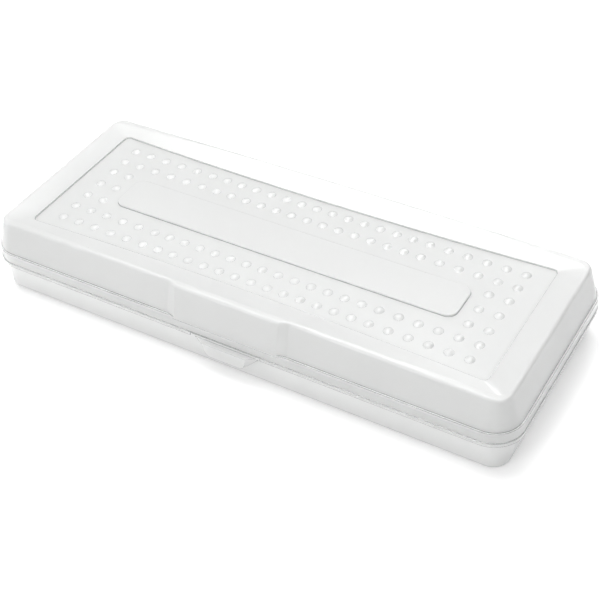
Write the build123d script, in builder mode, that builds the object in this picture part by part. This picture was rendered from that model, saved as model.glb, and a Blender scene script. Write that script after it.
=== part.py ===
"""A ruler-length pencil box: a tray, a hinged lid and a snap latch, in thin moulded plastic.

Millimetres. +X runs along the length, -Y is the latch side and +Z is up. The origin is the
middle of the tray's underside.
"""
import os

from build123d import *

# ---------------------------------------------------------------- driving sizes

length = 337.0                   # over the lid's rim, end to end
width = 134.0                    # over the lid's rim, front to back
wall = 1.5                       # wall of every moulding

lid_end_height = 46.4            # lid's top above the table, at the two ends
lid_crown = 1.7                  # how much higher the arched top is in the middle
top_inset_x = 7.2                # from the rim in to the edge of the top, at the ends
top_inset_y = 7.0                # the same, at the front and back
top_corner_radius = 5.5
top_edge_round = 2.0

skirt_bottom = 19.6              # height of the lid's lower rim
skirt_height = 9.0
skirt_corner_radius = 18.0
rim_lip = 0.5                    # how far the bead on the lower rim stands out
rim_lip_height = 2.2
skirt_step = 1.2                 # ledge from the lid's wall out to the skirt
skirt_step_thickness = 1.2

recess_length = 291.0            # floor of the sunk panel
recess_width = 95.0              # floor of the sunk panel, at its two ends
recess_waist = 3.4               # how far each long side bows in at the middle
recess_floor = 43.5              # height of the panel's floor
recess_step = 0.7                # upright step from that floor to the border's slope
recess_corner_radius = 3.0
crest_ends = 2.6                 # level crest left outside the border's slope, at the ends
crest_sides = 1.6                # the same at the middle of the long sides

strip_length = 222.0             # plain raised strip in the middle of the panel
strip_width = 26.5
strip_corner_radius = 6.0
strip_height = 1.2
strip_edge_round = 0.5

dome_diameter = 5.5
dome_height = 1.2
dome_pitch = 10.45               # between the domes of the middle columns
dome_end_pitch = 11.6            # between the domes of the end columns
middle_columns = 15
end_columns = 5                  # more columns at each end of those
strip_row_pitch = 13.0           # between the three rows that flank the strip
near_row_pitch = 11.7
outer_row_pitch = 11.9
columns_beside_strip = 2         # columns that the three middle rows keep at each end
dome_margin = 2.0                # least flat floor between a dome and the panel's edge

front_panel_width = 66.0         # flat of the proud panel on the lid's front wall
front_panel_blend = 5.5          # width of each sloping side of that panel
front_panel_proud = 2.2          # how far it stands out at the top

rim_clearance = 0.5              # tray rim to the inside of the skirt
lid_seat_clearance = 0.3         # tray rim to the ledge above it
tray_taper_x = 2.8               # how much each end wall leans in at the bottom
tray_taper_y = 1.1               # the same for the front and back walls
tray_floor = 1.6
tray_bottom_corner_radius = 10.0
tray_bottom_round = 2.5

hinge_spacing = 190.0            # between the two hinges
hinge_axis_height = 15.5
hinge_axis_gap = 5.3             # hinge axis behind the tray's back wall
knuckle_width = 16.0
knuckle_radius = 3.6
hinge_pin_radius = 1.5
hinge_pin_length = 3.5
hinge_running_clearance = 0.05
hinge_side_clearance = 0.3
ear_thickness = 2.5
ear_radius = 3.9
ear_web_rise = 2.8               # top of the ear's web above the hinge axis
lid_stop_angle = 131.0           # lid swung back, its top edge just clear of the table
lid_stop_clearance = 0.35
lid_stop_width = 2.2

tab_width = 45.0                 # latch tab at its root
tab_foot_width = 25.0            # latch tab at its lower edge
tab_drop = 9.6                   # how far the tab hangs below the lid's rim
tab_pad_width = 28.0             # the thumb pad's flat face
tab_pad_proud = 2.0              # thumb pad in front of the rim
tab_root_height = 0.9            # flex line above the lid's lower rim
tab_clearance = 0.25
tab_corner_radius = 4.0

catch_width = 24.0
catch_height = 16.0              # height of the catch bead on the tray
catch_radius = 1.4
catch_stand_out = 1.5
hook_clearance = 0.3
hook_gap = 0.5                   # hook below the bead
hook_depth = 2.0

# ---------------------------------------------------------------- sizes that follow

skirt_top = skirt_bottom + skirt_height
skirt_half_x = length / 2 - rim_lip
skirt_half_y = width / 2 - rim_lip
skirt_outer_radius = skirt_corner_radius - rim_lip
skirt_inner_radius = skirt_outer_radius - wall
ledge_underside = skirt_top - skirt_step_thickness

lid_low_half_x = skirt_half_x - skirt_step
lid_low_half_y = skirt_half_y - skirt_step
lid_low_radius = skirt_outer_radius - skirt_step
lid_top_half_x = length / 2 - top_inset_x
lid_top_half_y = width / 2 - top_inset_y
lid_height_middle = lid_end_height + lid_crown
above_lid = lid_height_middle + 2 * wall      # a level clear of the arched top
border_low = recess_floor + recess_step       # where the border's slope starts

tray_rim_half_x = skirt_half_x - wall - rim_clearance
tray_rim_half_y = skirt_half_y - wall - rim_clearance
tray_rim_radius = skirt_inner_radius - rim_clearance
tray_rim_height = ledge_underside - lid_seat_clearance
tray_low_half_x = tray_rim_half_x - tray_taper_x
tray_low_half_y = tray_rim_half_y - tray_taper_y


def between(low, high, share):
    """The value a share of the way from low to high."""
    return low + (high - low) * share


def lid_half(height):
    """Half length and half width of the lid's outside at a height, along its leaning walls."""
    share = (height - skirt_top) / (lid_end_height - skirt_top)
    return (
        between(lid_low_half_x, lid_top_half_x, share),
        between(lid_low_half_y, lid_top_half_y, share),
    )


def tray_front(height):
    """Distance from the middle out to the tray's long walls at a height."""
    return between(tray_low_half_y, tray_rim_half_y, height / tray_rim_height)


hinge_y = tray_front(hinge_axis_height) + hinge_axis_gap
hinge_centres = [-hinge_spacing / 2, hinge_spacing / 2]

catch_y = -tray_front(catch_height) - (catch_stand_out - catch_radius)
hook_tip_y = catch_y - catch_radius - hook_clearance

tab_root_z = skirt_bottom + tab_root_height
tab_face_y = -skirt_half_y - rim_lip
tab_root_y = tab_face_y + wall / 2
tab_foot_z = skirt_bottom - tab_drop
pad_face_y = tab_face_y - tab_pad_proud


# ---------------------------------------------------------------- shared outlines

def waisted_rectangle(half_x, half_y, waist, radius):
    """Sketch a rectangle whose two long sides bow in by waist at the middle."""
    with BuildSketch(mode=Mode.PRIVATE) as outline:
        with BuildLine():
            ThreePointArc((-half_x, -half_y), (0, waist - half_y), (half_x, -half_y))
            Line((half_x, -half_y), (half_x, half_y))
            ThreePointArc((half_x, half_y), (0, half_y - waist), (-half_x, half_y))
            Line((-half_x, half_y), (-half_x, -half_y))
        make_face()
        fillet(outline.vertices(), radius=radius)
    return outline.sketch


def arched_space(height_in_middle):
    """Everything above an arch that follows the lid's crown, as a solid to cut away."""
    reach = length
    drop_at_reach = lid_crown * (reach / lid_top_half_x) ** 2
    with BuildPart(mode=Mode.PRIVATE) as space:
        with BuildSketch(Plane.XZ):
            with BuildLine():
                ThreePointArc(
                    (-reach, height_in_middle - drop_at_reach),
                    (0, height_in_middle),
                    (reach, height_in_middle - drop_at_reach),
                )
                Line((reach, height_in_middle - drop_at_reach), (reach, 2 * above_lid))
                Line((reach, 2 * above_lid), (-reach, 2 * above_lid))
                Line((-reach, 2 * above_lid), (-reach, height_in_middle - drop_at_reach))
            make_face()
        extrude(amount=width, both=True)
    return space.part


def tapering_block(low_z, low_half, low_radius, high_z, high_half, high_radius):
    """A block with rounded upright corners whose four walls lean."""
    with BuildPart(mode=Mode.PRIVATE) as block:
        for z, half, radius in ((low_z, low_half, low_radius), (high_z, high_half, high_radius)):
            with BuildSketch(Plane.XY.offset(z)):
                RectangleRounded(2 * half[0], 2 * half[1], radius)
        loft(ruled=True)
    return block.part


def front_panel_block(inset):
    """The lid's front panel as a block with sloping sides, made smaller all round by inset."""
    with BuildPart(mode=Mode.PRIVATE) as block:
        for z in (skirt_top - wall, above_lid):
            share = (z - skirt_top) / (lid_end_height - skirt_top)
            root_y = -lid_half(z)[1] + inset
            face_y = between(-skirt_half_y, -lid_top_half_y - front_panel_proud, share) + inset
            flat = front_panel_width / 2 - inset / 2
            foot = flat + front_panel_blend
            with BuildSketch(Plane.XY.offset(z)):
                Polygon(
                    (-foot, root_y), (-flat, face_y), (flat, face_y), (foot, root_y),
                    (foot, 0), (-foot, 0), align=None,
                )
        loft(ruled=True)
    return block.part


def panel_block(grow):
    """The space over the sunk panel's flat floor, made larger all round by grow."""
    with BuildPart(mode=Mode.PRIVATE) as block:
        with BuildSketch(Plane.XY.offset(recess_floor - grow)):
            add(waisted_rectangle(
                recess_length / 2 + grow, recess_width / 2 + grow,
                recess_waist, recess_corner_radius + grow,
            ))
        extrude(amount=above_lid - recess_floor)
    return block.part


def border_block(drop):
    """The space over the border that slopes from the crest in to the panel, lowered by drop."""
    run_x = lid_top_half_x - crest_ends - recess_length / 2
    run_y = lid_half(lid_height_middle)[1] - crest_sides - (recess_width / 2 - recess_waist)
    rise = above_lid - border_low
    spread_x = run_x * rise / (lid_end_height - border_low)
    spread_y = run_y * rise / (lid_height_middle - border_low)
    with BuildPart(mode=Mode.PRIVATE) as block:
        with BuildSketch(Plane.XY.offset(border_low - drop)):
            add(waisted_rectangle(
                recess_length / 2, recess_width / 2, recess_waist, recess_corner_radius,
            ))
        with BuildSketch(Plane.XY.offset(above_lid - drop)):
            add(waisted_rectangle(
                recess_length / 2 + spread_x, recess_width / 2 + spread_y,
                recess_waist, recess_corner_radius + rise,
            ))
        loft(ruled=True)
    return block.part


# ---------------------------------------------------------------- the domes' places

def column_places():
    """Places of the domes' columns along X, from the left end to the right."""
    middle = [dome_pitch * (i - (middle_columns - 1) / 2) for i in range(middle_columns)]
    right = [middle[-1] + dome_end_pitch * (i + 1) for i in range(end_columns)]
    return [-x for x in reversed(right)] + middle + right


def dome_places():
    """Places of the domes that fit on the sunk panel, with the strip's area left plain."""
    columns = column_places()
    beside_strip = columns[:columns_beside_strip] + columns[-columns_beside_strip:]
    near = strip_row_pitch + near_row_pitch
    outer = near + outer_row_pitch
    places = [(x, y) for y in (-strip_row_pitch, 0, strip_row_pitch) for x in beside_strip]
    places += [(x, y) for y in (-outer, -near, near, outer) for x in columns]
    reach_x = recess_length / 2 - dome_margin - dome_diameter / 2
    reach_y = recess_width / 2 - recess_waist - dome_margin - dome_diameter / 2
    return [(x, y) for x, y in places if abs(x) <= reach_x and abs(y) <= reach_y]


# ---------------------------------------------------------------- tray

with BuildPart() as base_tray:
    add(tapering_block(
        0, (tray_low_half_x, tray_low_half_y), tray_bottom_corner_radius,
        tray_rim_height, (tray_rim_half_x, tray_rim_half_y), tray_rim_radius,
    ))
    underside = base_tray.faces().sort_by(Axis.Z)[0]
    fillet(underside.edges(), radius=tray_bottom_round)

    # hinge ears, with their webs reaching into the back wall
    ear_offset = knuckle_width / 2 + hinge_side_clearance + ear_thickness / 2
    web_root_y = tray_front(hinge_axis_height) - wall / 2
    for centre in hinge_centres:
        for side in (-1, 1):
            with BuildSketch(Plane.YZ.offset(centre + side * ear_offset)):
                with Locations((hinge_y, hinge_axis_height)):
                    Circle(ear_radius)
                Polygon(
                    (web_root_y, hinge_axis_height - ear_radius),
                    (hinge_y, hinge_axis_height - ear_radius),
                    (hinge_y, hinge_axis_height + ear_web_rise),
                    (web_root_y, hinge_axis_height + ear_web_rise),
                    align=None,
                )
            extrude(amount=ear_thickness / 2, both=True)
            pin_middle = centre + side * (knuckle_width / 2 + hinge_side_clearance)
            with BuildSketch(Plane.YZ.offset(pin_middle)):
                with Locations((hinge_y, hinge_axis_height)):
                    Circle(hinge_pin_radius)
            extrude(amount=-side * (hinge_pin_length - hinge_side_clearance))

    # catch bead on the front wall
    with BuildSketch(Plane.YZ.offset(-catch_width / 2)):
        with Locations((catch_y, catch_height)):
            Circle(catch_radius)
    extrude(amount=catch_width)

    # the hollow
    add(
        tapering_block(
            tray_floor, (tray_low_half_x - wall, tray_low_half_y - wall),
            tray_bottom_corner_radius - wall,
            tray_rim_height + wall, (tray_rim_half_x - wall, tray_rim_half_y - wall),
            tray_rim_radius - wall,
        ),
        mode=Mode.SUBTRACT,
    )
    inner_floor = base_tray.faces().filter_by(Plane.XY).filter_by_position(
        Axis.Z, tray_floor - wall / 2, tray_floor + wall / 2
    )
    fillet(inner_floor.edges(), radius=tray_bottom_round - wall)

base_tray.part.label = "base_tray"

# ---------------------------------------------------------------- lid

with BuildPart() as lid_hollow:
    hollow_low = ledge_underside - wall
    hollow_low_half = [half - wall for half in lid_half(hollow_low)]
    hollow_top_half = [half - wall for half in lid_half(above_lid)]
    add(tapering_block(
        hollow_low, hollow_low_half, lid_low_radius - wall,
        above_lid, hollow_top_half, top_corner_radius - wall,
    ))
    add(front_panel_block(wall))
    add(arched_space(lid_height_middle - wall), mode=Mode.SUBTRACT)
    add(panel_block(wall), mode=Mode.SUBTRACT)
    add(border_block(wall), mode=Mode.SUBTRACT)

with BuildPart() as lid:
    add(tapering_block(
        skirt_top - wall, lid_half(skirt_top - wall), lid_low_radius,
        above_lid, lid_half(above_lid), top_corner_radius,
    ))
    add(front_panel_block(0))
    add(arched_space(lid_height_middle), mode=Mode.SUBTRACT)
    crown_face = lid.faces().sort_by(Axis.Z)[-1]
    fillet(crown_face.edges(), radius=top_edge_round)

    # skirt with its rim bead
    with BuildSketch(Plane.XY.offset(skirt_bottom)):
        RectangleRounded(2 * skirt_half_x, 2 * skirt_half_y, skirt_outer_radius)
    extrude(amount=skirt_height)
    with BuildSketch(Plane.XY.offset(skirt_bottom)):
        RectangleRounded(length, width, skirt_corner_radius)
    extrude(amount=rim_lip_height)

    # hinge knuckles, each on an arm that runs up the back of the skirt, with the foot that
    # meets the tray's back wall when the lid is fully open
    for centre in hinge_centres:
        with BuildSketch(Plane.YZ.offset(centre)):
            with Locations((hinge_y, hinge_axis_height)):
                Circle(knuckle_radius)
            Polygon(
                (skirt_half_y - wall / 2, skirt_top),
                (skirt_half_y - wall / 2, skirt_bottom),
                (hinge_y - knuckle_radius, hinge_axis_height),
                (hinge_y + knuckle_radius, hinge_axis_height),
                (hinge_y, skirt_top - rim_lip_height),
                (skirt_half_y + rim_lip, skirt_top),
                align=None,
            )
            stop_reach = hinge_axis_gap - lid_stop_clearance
            with Locations((hinge_y, hinge_axis_height)):
                with Locations(Rotation(0, 0, lid_stop_angle + 180)):
                    Rectangle(stop_reach, lid_stop_width, align=(Align.MIN, Align.CENTER))
        extrude(amount=knuckle_width / 2, both=True)

    # the hollow above the ledge, and the wider one inside the skirt
    add(lid_hollow.part, mode=Mode.SUBTRACT)
    with BuildSketch(Plane.XY.offset(skirt_bottom)):
        RectangleRounded(
            2 * (skirt_half_x - wall), 2 * (skirt_half_y - wall), skirt_inner_radius
        )
    extrude(amount=ledge_underside - skirt_bottom, mode=Mode.SUBTRACT)

    # bores for the hinge pins
    for centre in hinge_centres:
        with BuildSketch(Plane.YZ.offset(centre)):
            with Locations((hinge_y, hinge_axis_height)):
                Circle(hinge_pin_radius + hinge_running_clearance)
        extrude(amount=knuckle_width, both=True, mode=Mode.SUBTRACT)

    # notch in the front rim for the latch tab
    notch_top = tab_root_z + wall / 2 + tab_clearance
    with BuildSketch(Plane.XZ.offset(skirt_half_y - 2 * wall)):
        with Locations((0, skirt_bottom)):
            Rectangle(
                tab_width + 2 * tab_clearance, notch_top - skirt_bottom,
                align=(Align.CENTER, Align.MIN),
            )
    extrude(amount=4 * wall, mode=Mode.SUBTRACT)

    # the sloping border and the sunk panel, its plain strip and its domes
    add(panel_block(0), mode=Mode.SUBTRACT)
    add(border_block(0), mode=Mode.SUBTRACT)
    with BuildSketch(Plane.XY.offset(recess_floor - wall / 2)):
        RectangleRounded(strip_length, strip_width, strip_corner_radius)
    extrude(amount=wall / 2 + strip_height)
    strip_top = lid.faces().filter_by(Plane.XY).filter_by_position(
        Axis.Z, recess_floor + strip_height / 2, recess_floor + 2 * strip_height
    )
    fillet(strip_top.edges(), radius=strip_edge_round)
    with BuildPart(mode=Mode.PRIVATE) as dome:
        dome_radius = ((dome_diameter / 2) ** 2 + dome_height ** 2) / (2 * dome_height)
        with BuildSketch(Plane.XZ):
            with BuildLine():
                CenterArc((0, dome_height - dome_radius), dome_radius, 0, 90)
                Line((0, dome_height), (0, dome_height - dome_radius))
                Line((0, dome_height - dome_radius), (dome_radius, dome_height - dome_radius))
            make_face()
            with Locations((0, -wall / 2)):
                Rectangle(
                    2 * dome_radius, 2 * dome_radius,
                    align=(Align.CENTER, Align.MAX), mode=Mode.SUBTRACT,
                )
        revolve(axis=Axis.Z)
    dome_locations = [Location((x, y, recess_floor)) for x, y in dome_places()]
    add([dome.part.moved(place) for place in dome_locations])

lid.part.label = "lid"

# ---------------------------------------------------------------- latch tab


def tab_outline(top_width, foot_width, top_z, foot_z, radius):
    """Sketch the tab seen from the front: wide at its root, narrower and rounded at its foot."""
    with BuildSketch(mode=Mode.PRIVATE) as outline:
        with BuildLine():
            Polyline(
                (-top_width / 2, top_z), (top_width / 2, top_z),
                (foot_width / 2, foot_z), (-foot_width / 2, foot_z),
                close=True,
            )
        make_face()
        feet = outline.vertices().group_by(Axis.Y)[0]
        fillet(feet, radius=radius)
    return outline.sketch


def tab_block(inset):
    """The tab's pad as a block that narrows towards its face, made smaller all round by inset.

    Its back lies level with the hook's tip, so that it clears the bead as the lid lifts.
    """
    with BuildPart(mode=Mode.PRIVATE) as block:
        back = (tab_width, tab_foot_width, tab_root_z, tab_foot_z)
        face = (tab_pad_width, tab_foot_width, tab_root_z - tab_pad_proud, tab_foot_z)
        for y, (top_width, foot_width, top_z, foot_z) in (
            (-hook_tip_y, back), (-pad_face_y - inset, face),
        ):
            with BuildSketch(Plane.XZ.offset(y)):
                add(tab_outline(
                    top_width - 2 * inset, foot_width - 2 * inset,
                    top_z - inset, foot_z + inset, tab_corner_radius - inset,
                ))
        loft(ruled=True)
    return block.part


with BuildPart() as latch_tab:
    add(tab_block(0))
    add(tab_block(wall), mode=Mode.SUBTRACT)

    # root: a rounded bar that lies along the flex line
    with BuildSketch(Plane.YZ.offset(-tab_width / 2)):
        with Locations((tab_root_y, tab_root_z)):
            Circle(wall / 2)
    extrude(amount=tab_width)

    # hook that lies just below the tray's bead
    hook_top = catch_height - catch_radius - hook_gap
    with BuildSketch(Plane.YZ.offset(-catch_width / 2)):
        Polygon(
            (pad_face_y + wall / 2, hook_top), (hook_tip_y, hook_top),
            (hook_tip_y, hook_top - hook_depth / 2), (pad_face_y + wall / 2, hook_top - hook_depth),
            align=None,
        )
    extrude(amount=catch_width)

latch_tab.part.label = "latch_tab"

# ---------------------------------------------------------------- export

os.makedirs("parts", exist_ok=True)
export_step(base_tray.part, "parts/base_tray.step")
export_step(lid.part, "parts/lid.step")
export_step(latch_tab.part, "parts/latch_tab.step")
print("hinge axis y, z:", round(hinge_y, 3), hinge_axis_height)
print("tab root y, z:", round(tab_root_y, 3), round(tab_root_z, 3))
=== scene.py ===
# %% [markdown]
# # A pencil box in frosted plastic
# The box is two mouldings: a shallow tray, and a lid with a sunk panel of small domes. The latch
# tab at the front is a tongue of the lid, and is a piece of its own here because it bends. The
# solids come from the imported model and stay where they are. This lesson gives them their plastic,
# and sets the floor, the lamps and the camera.

# %% Load the frame
import math

import bmesh
import bpy
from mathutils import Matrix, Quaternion, Vector

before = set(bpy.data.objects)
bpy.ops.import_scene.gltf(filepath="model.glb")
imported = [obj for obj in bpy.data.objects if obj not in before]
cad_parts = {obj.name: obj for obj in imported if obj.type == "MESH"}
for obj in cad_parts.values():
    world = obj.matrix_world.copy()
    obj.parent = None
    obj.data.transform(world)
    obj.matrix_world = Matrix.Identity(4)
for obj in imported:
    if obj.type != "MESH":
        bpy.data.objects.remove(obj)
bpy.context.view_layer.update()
tray, lid, tab = (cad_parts[name] for name in ("base_tray", "lid", "latch_tab"))

# %% [markdown]
# A studio picture of a small product is taken with a long lens from a little way off, so that
# the box keeps nearly parallel sides. A wide lens close by would show the same corner, but would
# splay the ends. The camera looks down over the front right corner. Its place and the point that
# it aims at are in metres, in the same frame as the box, and the roll is a slight lean of the
# picture to one side.

# %% Camera
camera_place = Vector((0.30666, -0.45827, 0.49264))
camera_aim = Vector((0.01704, -0.01468, 0.02000))
camera_roll = math.radians(-4.065)
camera_lens = 75.16
sensor_width = 36.0

camera = bpy.data.objects.new("camera", bpy.data.cameras.new("camera"))
bpy.context.scene.collection.objects.link(camera)
camera.data.sensor_width = sensor_width
camera.data.lens = camera_lens
camera.location = camera_place
camera.rotation_mode = "QUATERNION"
level = (camera_aim - camera_place).to_track_quat("-Z", "Y")
camera.rotation_quaternion = level @ Quaternion((0.0, 0.0, 1.0), camera_roll)
bpy.context.scene.camera = camera
print("camera is", round((camera_aim - camera_place).length, 3), "m from its aim")

# %% [markdown]
# Node trees could be built one node and one link at a time, but that hides what they do. Small
# helpers make them readable. One adds a node and sets its values by name. The others give the
# result of a sum, of a mix of two numbers or two colours, and of a stretch of a range.

# %% Node helpers
def add_node(tree, kind, values=None, **settings):
    """Add a node, set its properties, and give its inputs a value or a link."""
    node = tree.nodes.new(kind)
    for key, value in settings.items():
        setattr(node, key, value)
    for key, value in (values or {}).items():
        if isinstance(value, bpy.types.NodeSocket):
            tree.links.new(value, node.inputs[key])
        else:
            node.inputs[key].default_value = value
    return node


def math_node(tree, operation, first, second=0.0):
    """The result of one sum on two numbers."""
    values = {0: first, 1: second}
    return add_node(tree, "ShaderNodeMath", values, operation=operation).outputs[0]


def mix_numbers(tree, share, first, second):
    """A number between two others, at a share from 0 to 1."""
    return add_node(tree, "ShaderNodeMix", {0: share, 2: first, 3: second}).outputs[0]


def mix_colours(tree, share, first, second):
    """A colour between two others, at a share from 0 to 1."""
    values = {0: share, 6: first, 7: second}
    return add_node(tree, "ShaderNodeMix", values, data_type="RGBA").outputs[2]


def stretch(tree, value, from_range, to_range=(0.0, 1.0)):
    """Move a value from one range to another."""
    return add_node(tree, "ShaderNodeMapRange", {
        "Value": value, "From Min": from_range[0], "From Max": from_range[1],
        "To Min": to_range[0], "To Max": to_range[1]}).outputs[0]


def new_material(name):
    """Make an empty material and return it with its node tree and output node."""
    material = bpy.data.materials.new(name)
    material.use_nodes = True
    material.node_tree.nodes.clear()
    output = material.node_tree.nodes.new("ShaderNodeOutputMaterial")
    return material, material.node_tree, output


print("helpers:", ", ".join(tool.__name__ for tool in (
    add_node, math_node, mix_numbers, mix_colours, stretch, new_material)))

# %% [markdown]
# The box stands on a white floor with only a narrow soft shadow. A floor under studio lamps comes
# out a little grey. Stronger lamps would whiten it, but they would bleach the box as well. So a
# glow that only the camera, reflections and see-through rays meet is added to its lit colour.
# Away from the box the two together are white, and close to it the shadow is left.

# %% Rays that show the background
def seen_ray(tree):
    """1 for a ray that shows the background: to the camera, mirrored or through plastic."""
    path = tree.nodes.new("ShaderNodeLightPath")
    mirrored = math_node(
        tree, "MAXIMUM", path.outputs["Is Camera Ray"], path.outputs["Is Glossy Ray"])
    return math_node(tree, "MAXIMUM", mirrored, path.outputs["Is Transmission Ray"])


print("helper:", seen_ray.__name__)

# %% Floor
floor_half = 4.0
floor_white = (0.93, 0.93, 0.93, 1.0)
floor_glow = 0.26

floor_mesh = bpy.data.meshes.new("floor")
shape = bmesh.new()
bmesh.ops.create_grid(shape, x_segments=1, y_segments=1, size=floor_half)
shape.to_mesh(floor_mesh)
shape.free()
floor = bpy.data.objects.new("floor", floor_mesh)
bpy.context.scene.collection.objects.link(floor)

floor_finish, tree, output = new_material("floor_white")
lit = add_node(tree, "ShaderNodeBsdfDiffuse", {"Color": floor_white})
glow = add_node(tree, "ShaderNodeEmission", {
    "Strength": math_node(tree, "MULTIPLY", seen_ray(tree), floor_glow)})
both = add_node(tree, "ShaderNodeAddShader", {0: lit.outputs[0], 1: glow.outputs[0]})
tree.links.new(both.outputs[0], output.inputs["Surface"])
floor_mesh.materials.append(floor_finish)
print("floor is", 2 * floor_half, "m wide")

# %% [markdown]
# The room round the box is an even white tent. Its light is weaker than white, so that it fills
# the shadows without flattening the box, and the same rays as on the floor see it as pure white.

# %% Surroundings
sky_white = (1.0, 1.0, 1.0, 1.0)
sky_level = 0.58

world = bpy.data.worlds.new("studio")
bpy.context.scene.world = world
world.use_nodes = True
tree = world.node_tree
sky = tree.nodes["Background"]
sky.inputs["Color"].default_value = sky_white
lift = math_node(tree, "MULTIPLY", seen_ray(tree), 1.0 - sky_level)
tree.links.new(math_node(tree, "ADD", lift, sky_level), sky.inputs["Strength"])
print("the tent lights the box at", sky_level, "and shows at 1")

# %% [markdown]
# The lamps could be one bright sun, but a see-through box needs wide soft lamps, or its gloss
# breaks into hard spots. A large one hangs above and a little to the left, so the top is the
# brightest side and the right end the darkest. A small one behind the box gives the rounded
# edges and the domes a light line without a glare on the flat top. A weak one at the front left
# fills the front wall. Places and sizes are in metres, and powers in watts.

# %% Lamps
lamp_aim = (0.0, 0.0, 0.03)
lamp_plan = {
    "top_lamp": {"place": (-0.28, 0.25, 1.2), "size": 0.95, "power": 12.8},
    "edge_lamp": {"place": (-0.15, 1.15, 0.65), "size": 0.35, "power": 2.4},
    "front_lamp": {"place": (-0.4, -1.2, 0.5), "size": 0.6, "power": 4.5},
}


def area_lamp(name, place, size, power):
    """A square soft lamp at a place, turned to the box."""
    lamp = bpy.data.objects.new(name, bpy.data.lights.new(name, "AREA"))
    bpy.context.scene.collection.objects.link(lamp)
    lamp.data.size = size
    lamp.data.energy = power
    lamp.location = place
    lamp.rotation_mode = "QUATERNION"
    aim = Vector(lamp_aim) - Vector(place)
    lamp.rotation_quaternion = aim.to_track_quat("-Z", "Y")
    return lamp


for name, plan in lamp_plan.items():
    lamp = area_lamp(name, **plan)
    print(lamp.name, "gives", round(lamp.data.energy, 1), "W")

# %% [markdown]
# Frosted polypropylene is cloudy and see-through at once. Its surface is spark-eroded in the
# mould, which gives a very fine grain, and the melt leaves faint clouds where it flowed. Every
# edge of a moulding is a little round and glossier, and a painted highlight makes it lighter.
# Its inner corners are darker with painted shade. This could be painted on images, one for each
# piece. One node group that works it out from the shape is shorter, and follows every dome. Each
# moulding gives it its own strengths.

# %% Values of the moulded surface
cloud_noise = {"Detail": 3.0, "Roughness": 0.5, "Distortion": 0.6}
grain_noise = {"Detail": 2.0, "Roughness": 0.6}
mask_samples = 8
edge_turn = (0.99, 0.9)
crease_cover = (0.95, 0.45)
surface_inputs = ("Grain Scale", "Cloud Scale", "Grain Depth", "Edge Radius", "Crease Reach")
surface_masks = ("Clouding", "Edge", "Crease")
print("an edge starts at a turn of", round(math.degrees(math.acos(edge_turn[0])), 1), "degrees")

# %% Moulded surface group
def moulded_surface():
    """A node group that gives clouding, masks of edges and creases, and a grained normal."""
    group = bpy.data.node_groups.new("moulded_surface", "ShaderNodeTree")
    face = group.interface
    face.new_socket("Vector", in_out="INPUT", socket_type="NodeSocketVector")
    for name in surface_inputs:
        face.new_socket(name, in_out="INPUT", socket_type="NodeSocketFloat")
    for name in surface_masks:
        face.new_socket(name, in_out="OUTPUT", socket_type="NodeSocketFloat")
    face.new_socket("Normal", in_out="OUTPUT", socket_type="NodeSocketVector")
    source = group.nodes.new("NodeGroupInput").outputs
    result = group.nodes.new("NodeGroupOutput").inputs

    cloud = add_node(group, "ShaderNodeTexNoise", {
        "Vector": source["Vector"], "Scale": source["Cloud Scale"], **cloud_noise})
    grain = add_node(group, "ShaderNodeTexNoise", {
        "Vector": source["Vector"], "Scale": source["Grain Scale"], **grain_noise})
    rounded = add_node(
        group, "ShaderNodeBevel", {"Radius": source["Edge Radius"]}, samples=mask_samples)
    flat = group.nodes.new("ShaderNodeNewGeometry").outputs["Normal"]
    along = add_node(group, "ShaderNodeVectorMath", {
        0: rounded.outputs["Normal"], 1: flat}, operation="DOT_PRODUCT")
    open_side = add_node(group, "ShaderNodeAmbientOcclusion", {
        "Distance": source["Crease Reach"]}, samples=mask_samples)
    skin = add_node(group, "ShaderNodeBump", {
        "Strength": 1.0, "Distance": source["Grain Depth"],
        "Height": grain.outputs["Fac"], "Normal": rounded.outputs["Normal"]})

    group.links.new(cloud.outputs["Fac"], result["Clouding"])
    group.links.new(stretch(group, along.outputs["Value"], edge_turn), result["Edge"])
    group.links.new(stretch(group, open_side.outputs["AO"], crease_cover), result["Crease"])
    group.links.new(skin.outputs[0], result["Normal"])
    return group


surface_group = moulded_surface()
print("group", surface_group.name, "has", len(surface_group.nodes), "nodes")

# %% [markdown]
# The plastic itself is one Principled shader: partly clear, with a rough surface inside and out,
# so that what lies behind is blurred. Subsurface scattering could cloud it too, but it adds
# little in walls as thin as these. The edges are glossier than the flats, and a painted highlight
# makes them lighter. Inner corners get painted shade on the outside only, because inside a thin
# wall everything is close by.

# %% Values of the plastic
plastic_ior = 1.49
surface_values = {
    "Grain Scale": 900.0, "Cloud Scale": 14.0, "Grain Depth": 0.00001,
    "Edge Radius": 0.0006, "Crease Reach": 0.0025}
cloud_range = (0.3, 0.7)
clouding = 0.03
# Colour of the painted highlight on rounded edges.
painted_edge_highlight = (1.0, 1.0, 1.0, 1.0)
edge_polish = 0.6
# Colour of the painted shade in inner corners.
crease_shade = (0.66, 0.67, 0.67, 1.0)
coat_flat, coat_edge = 0.5, 1.0
coat_roughness = 0.14
print("grain is about", round(1000.0 / surface_values["Grain Scale"], 1), "mm wide")

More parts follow.
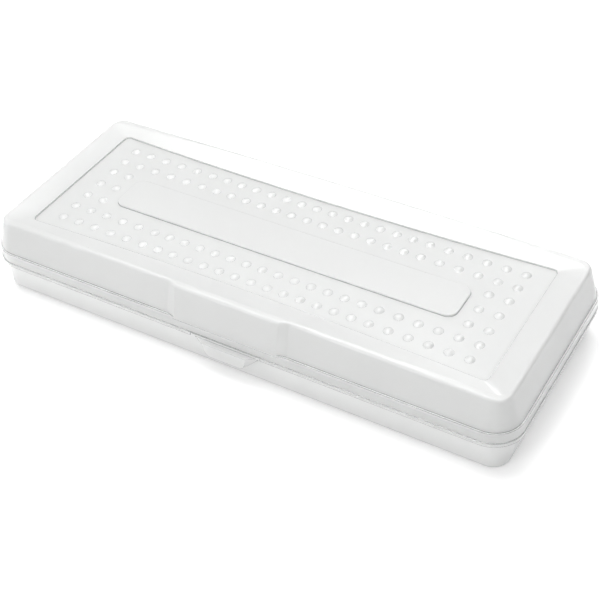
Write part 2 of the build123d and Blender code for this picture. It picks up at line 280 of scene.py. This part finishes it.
# %% Frosted plastic
def frosted_plastic(name, tint, clearness, smoothest, roughest):
    """A cloudy see-through plastic with a fine moulded grain, glossy edges with a painted
    highlight, and painted shade in inner corners.
    """
    material, tree, output = new_material(name)
    place = tree.nodes.new("ShaderNodeTexCoord").outputs["Object"]
    surface = add_node(
        tree, "ShaderNodeGroup", {"Vector": place, **surface_values},
        node_tree=surface_group).outputs
    back = tree.nodes.new("ShaderNodeNewGeometry").outputs["Backfacing"]
    outside = math_node(tree, "SUBTRACT", 1.0, back)
    crease = math_node(tree, "MULTIPLY", surface["Crease"], outside)

    clouded = [part * (1.0 - clouding) for part in tint[:3]] + [1.0]
    colour = mix_colours(tree, surface["Clouding"], tint, clouded)
    # Painted highlight: the edge mask lightens the colour towards white.
    colour = mix_colours(tree, surface["Edge"], colour, painted_edge_highlight)
    # Painted shade: the ambient occlusion crease mask darkens inner corners on the outside.
    colour = mix_colours(tree, crease, colour, crease_shade)
    rough = stretch(tree, surface["Clouding"], cloud_range, (smoothest, roughest))
    rough = mix_numbers(tree, surface["Edge"], rough, edge_polish * smoothest)
    coat = mix_numbers(tree, surface["Edge"], coat_flat, coat_edge)
    plastic = add_node(tree, "ShaderNodeBsdfPrincipled", {
        "Base Color": colour, "Roughness": rough, "Normal": surface["Normal"],
        "IOR": plastic_ior, "Transmission Weight": clearness,
        "Coat Weight": coat, "Coat Roughness": coat_roughness})
    tree.links.new(plastic.outputs[0], output.inputs["Surface"])
    return material


print("helper:", frosted_plastic.__name__)

# %% [markdown]
# The lid is the clearest piece, the tray is the milkiest, and the tab lies between them. They
# could share one material, but then one could not be made clearer without the others.

# %% Plastic of each moulding
plastic_plan = (
    (lid, "lid_plastic", {
        "tint": (0.94, 0.945, 0.94, 1.0), "clearness": 0.6,
        "smoothest": 0.28, "roughest": 0.36}),
    (tray, "tray_plastic", {
        "tint": (0.93, 0.935, 0.93, 1.0), "clearness": 0.35,
        "smoothest": 0.36, "roughest": 0.46}),
    (tab, "tab_plastic", {
        "tint": (0.95, 0.955, 0.95, 1.0), "clearness": 0.5,
        "smoothest": 0.3, "roughest": 0.38}),
)

for node, name, values in plastic_plan:
    finish = frosted_plastic(name, **values)
    for slot in node.material_slots:
        slot.material = finish
    print(node.name, "wears", finish.name)

# %% [markdown]
# The last step sets the plain view transform.

# %% View transform
bpy.context.scene.view_settings.view_transform = "Standard"
